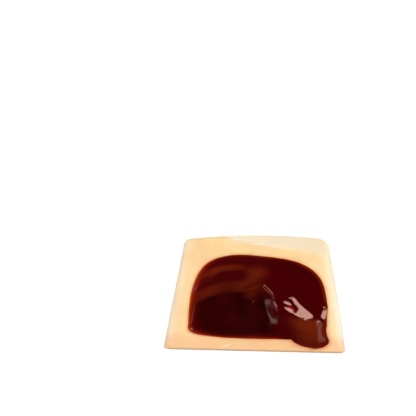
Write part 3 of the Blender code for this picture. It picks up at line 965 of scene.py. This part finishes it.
def fillingColours(front, facing, x, z, spots, inHollow, inAny):
    # How much of each colour shows at each point, by the name that the material reads.
    s, paint = filling, filling["paint"]
    # Painted brown light: a painted reflection of the white table where the scoop faces down, and
    # painted glow on the bands and the tongue
    mean, swing, length = paint["brownPatches"]
    patchy = mean + swing * noiseAt(spots, length, seed=7.0)
    belowCrest = smoothStep(*paint["belowCrest"], besideLine(s["crest"], x, z)[0])
    belowCrest = belowCrest * smoothStep(*paint["tongueStart"], x)
    onTongue = belowCrest * sum(swelling(x, z, spot) for spot in paint["tongueBrowns"])
    low, high = smoothStep(*paint["foldLow"], x), smoothStep(*paint["foldHigh"], x)
    fromFold = mix(low, high, smoothStep(*paint["foldChange"], z))
    brownLight = smoothStep(*paint["facingDown"], facing) * paint["brownLight"] * patchy * fromFold
    brownLight = brownLight + onTongue * paint["brownLight"]
    brownLight += patchy * sum(swelling(x, z, spot) for spot in paint["leftBrowns"])
    # Painted shade, darker where the surface lies further back
    mean, swing, length = paint["deepPatches"]
    patchy = mean + swing * noiseAt(spots, length, seed=8.0)
    deepShade = smoothStep(*paint["deepLevels"], front) * patchy
    satin = smoothStep(*paint["satinLeftOfLip"], besideLine(s["lip"], x, z)[0])
    satin = np.maximum(satin, belowCrest * paint["satinTongue"])
    outline = closedCurve(s["leans"]["crescent"][0], s["leanPlaces"])
    strength, start, full = paint["satinCrescent"]
    inCrescent = smoothStep(start, full, insideOutline(outline, x, z))
    satin = np.maximum(satin, strength * inCrescent)
    strength, width, start, full = paint["satinRim"]
    atRim = np.exp(-np.abs(inAny) / width) * smoothStep(start, full, x)
    satin = np.maximum(satin, strength * atRim)
    width, wider, start, full = paint["rimGlow"]
    rim = np.exp(-np.abs(inAny) / (width + wider * smoothStep(start, full, x)))
    strength, inwards, width = paint["innerLine"]
    innerLine = np.exp(-(((inHollow - inwards) / width) ** 2))
    innerLine = innerLine * smoothStep(*paint["innerAcross"], x) * smoothStep(*paint["innerUp"], z)
    thin = paint["thin"] * np.maximum(rim, strength * innerLine)
    thin = np.maximum(thin, swelling(x, z, paint["redPatch"]))
    brownLight, deepShade = np.clip(brownLight, 0.0, 1.0), np.clip(deepShade, 0.0, 1.0)
    return {"brownLight": brownLight, "deepShade": deepShade, "satin": satin, "thin": thin}


def makeFilling(material):
    s = filling
    xs, zs = np.arange(*s["across"], s["step"]), np.arange(*s["up"], s["step"])
    gridX, gridZ = np.meshgrid(xs, zs, indexing="ij")
    shape = gridX.shape
    x, z = gridX.ravel(), gridZ.ravel()
    inHollow, inDrip = insideForm(hollow, x, z), insideForm(drip, x, z)
    spots = np.stack([x, x * 0.0, z], 1)
    height, length = s["ripple"]
    front = fillingFront(x, z) + height * noiseAt(spots, length, seed=2.0)
    # The drip ends at its own outline and rolls back under the cut face there
    roll, softness = s["roll"]
    inAny = smoothMax(inHollow, inDrip, softness)
    rolled = np.clip(inAny / roll, 0.0, 1.0)
    raised = np.maximum(front - s["rimLevel"], 0.0) * np.sqrt(rolled * (2 - rolled))
    front = np.minimum(front, s["rimLevel"]) + raised
    firmer, reach = s["rimHold"]
    hold = s["leanHold"] + firmer * np.exp(-np.maximum(inAny, 0.0) / reach)
    front = leanPlaces(front.reshape(shape), gridX, gridZ, hold.reshape(shape))
    facing = np.gradient(front, s["step"], axis=1).ravel()
    front = front.ravel()
    # Faces where the grid lies within the outlines
    keep = np.maximum(inHollow, inDrip) > -s["overlap"]
    index = np.where(keep, np.cumsum(keep) - 1, -1).reshape(shape)
    corners = np.stack([index[:-1, :-1], index[1:, :-1], index[1:, 1:], index[:-1, 1:]], -1)
    faces = corners[(corners >= 0).all(-1)]
    points = np.stack([x, -front, z], 1)[keep]
    piece = makePiece("darkFilling", points, faces.tolist(), material)
    # Sides and back, down the hollow
    bm = bmesh.new()
    bm.from_mesh(piece.data)
    loose = [v for v in bm.verts if not v.link_faces]
    bmesh.ops.delete(bm, geom=loose, context="VERTS")
    border = [e for e in bm.edges if e.is_boundary]
    made = bmesh.ops.extrude_edge_only(bm, edges=border)["geom"]
    for v in made:
        if isinstance(v, bmesh.types.BMVert):
            v.co.y = cutFaceY + (hollow["depth"] - s["shortOfBack"]) * mm
    edge = [e for e in made if isinstance(e, bmesh.types.BMEdge)]
    bmesh.ops.contextual_create(bm, geom=edge)
    bmesh.ops.recalc_face_normals(bm, faces=bm.faces)
    bm.to_mesh(piece.data)
    bm.free()
    # Each point takes the colours of its place on the grid
    spot = np.round((meshPoints(piece)[:, [0, 2]] - (xs[0], zs[0])) / s["step"]).astype(int)
    across, up = np.clip(spot, 0, np.array(shape) - 1).T
    colours = fillingColours(front, facing, x, z, spots, inHollow, inAny)
    for name, values in colours.items():
        storeValue(piece, name, values.reshape(shape)[across, up])
    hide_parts("praline_filling")
    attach(piece, "root")


# Studio: a white table under soft lights. Each light is a soft box at a direction seen from the
# praline: degrees round from the front, degrees up, metres away, width, height and brightness.

studio = {
    "table": "#8c8c8c",
    "tableGlow": 0.8,
    "glowColour": "#ffffff",
    "tableFront": 0.13,  # metres that the table reaches in front of the praline
    "tableEnd": 1.2,  # and that it is seen to reach
    "tableSide": 0.6,
    "backdropAway": 0.6,
    "backdropHeight": 1.0,
    "backdropBrightness": 1.75,
    "world": "#c8c8c8",
    "worldStrength": 0.035,
    "target": (0.0, 0.0, 0.009),
    "lights": {
        "overhead": (10.0, 88.0, 0.7, 0.8, 0.8, 0.1),
        "keyRight": (45.0, 48.0, 0.8, 0.4, 0.4, 7.1),
        "fillRight": (54.0, 20.0, 0.7, 0.4, 0.6, 1.7),
        "fillLeft": (-65.0, 18.0, 0.7, 0.5, 0.5, 2.3),
        "front": (5.0, 12.0, 0.9, 0.9, 0.6, 0.55),
        "window": (33.0, 48.0, 0.75, 0.28, 0.28, 21.5),
        "sparkle": (27.0, 21.0, 0.75, 0.2, 0.12, 25.0),
        "leftCard": (-65.0, -2.0, 0.7, 0.25, 0.45, 4.6),
        "rightCard": (44.0, 8.0, 0.7, 0.2, 0.5, 3.6),
    },
    # A light that only brightens, and one that only shows as a reflection
    "noReflection": ["front", "keyRight", "fillLeft", "fillRight"],
    "onlyReflection": ["window", "sparkle", "leftCard", "rightCard"],
}


def makeStage(name, corners, material):
    bm = bmesh.new()
    bm.faces.new([bm.verts.new(corner) for corner in corners])
    stage = addObject(name, bm, material)
    return stage


def directionTo(around, up):
    # From the praline, in degrees round from the front and degrees up.
    a, e = math.radians(around), math.radians(up)
    return Vector((math.sin(a) * math.cos(e), -math.cos(a) * math.cos(e), math.sin(e)))


def makeStudio():
    s = studio
    table, tree = startMaterial("whiteTable")
    shader = addNode(
        tree,
        "ShaderNodeBsdfPrincipled",
        {
            "Base Color": linearFromHex(s["table"]),
            "Roughness": 0.9,
            "Emission Color": linearFromHex(s["glowColour"]),
            "Emission Strength": s["tableGlow"],
        },
    )
    finishMaterial(tree, shader)
    side, near, far, high = s["tableSide"], -s["tableFront"], s["backdropAway"], s["backdropHeight"]
    end = -s["tableEnd"]
    corners = [(-side, near, 0), (side, near, 0), (side, far, 0), (-side, far, 0)]
    makeStage("table", corners, table).visible_glossy = False  # keeps the filling's gloss dark
    # The rest of the table is there to be seen, and throws no light back
    corners = [(-side, end, 0), (side, end, 0), (side, near, 0), (-side, near, 0)]
    front = makeStage("tableFront", corners, table)
    front.visible_glossy = front.visible_diffuse = False
    backdrop, tree = startMaterial("lightBackdrop")
    brightness = {"Color": linearFromHex(s["glowColour"]), "Strength": s["backdropBrightness"]}
    finishMaterial(tree, addNode(tree, "ShaderNodeEmission", brightness))
    corners = [(-side, far, 0), (side, far, 0), (side, far, high), (-side, far, high)]
    makeStage("backdrop", corners, backdrop)
    world = bpy.data.worlds.new("studio")
    world.use_nodes = True
    background = world.node_tree.nodes["Background"]
    background.inputs["Color"].default_value = linearFromHex(s["world"])
    background.inputs["Strength"].default_value = s["worldStrength"]
    bpy.context.scene.world = world
    for name, (around, up, away, width, height, brightness) in s["lights"].items():
        light = bpy.data.lights.new(name, "AREA")
        light.shape = "RECTANGLE"
        light.size, light.size_y = width, height
        light.energy = brightness * math.pi * width * height
        lamp = bpy.data.objects.new(name, light)
        direction = directionTo(around, up)
        lamp.location = Vector(s["target"]) + direction * away
        lamp.rotation_euler = direction.to_track_quat("Z", "Y").to_euler()
        lamp.visible_glossy = name not in s["noReflection"]
        lamp.visible_diffuse = name not in s["onlyReflection"]
        bpy.context.scene.collection.objects.link(lamp)


# Camera

camera = {
    "azimuth": 2.5,
    "elevation": 1.4,
    "roll": 1.2,
    "distance": 0.45,
    "pictureWidth": 68.33,  # mm that the picture spans at the cut face
    "aim": (-7.57, 23.6),  # mm across and up from the middle of the lower front edge
    "sensor": 36.0,  # mm
}


def makeCamera():
    s = camera
    data = bpy.data.cameras.new("camera")
    data.sensor_width = s["sensor"]
    data.lens = s["sensor"] * s["distance"] / mm / s["pictureWidth"]
    data.clip_start, data.clip_end = 0.01, 20.0
    away = directionTo(s["azimuth"], s["elevation"])
    look = away.to_track_quat("Z", "Y").to_matrix()
    look = look @ Matrix.Rotation(math.radians(s["roll"]), 3, "Z")
    aim = Vector((0.0, cutFaceY, 0.0)) + look @ Vector((s["aim"][0] * mm, s["aim"][1] * mm, 0.0))
    view = bpy.data.objects.new("camera", data)
    view.matrix_world = Matrix.Translation(aim + away * s["distance"]) @ look.to_4x4()
    bpy.context.scene.collection.objects.link(view)
    bpy.context.scene.camera = view


makeShell(makeWhiteChocolate("whiteChocolate"))
makeCrumbs(makeWhiteChocolate("whiteChocolateCrumbs"))
print("shell and crumbs made")
makeFilling(makeDarkFilling())
print("filling made")
makeStudio()
makeCamera()
bpy.context.scene.view_settings.view_transform = "Standard"
print("studio and camera made")
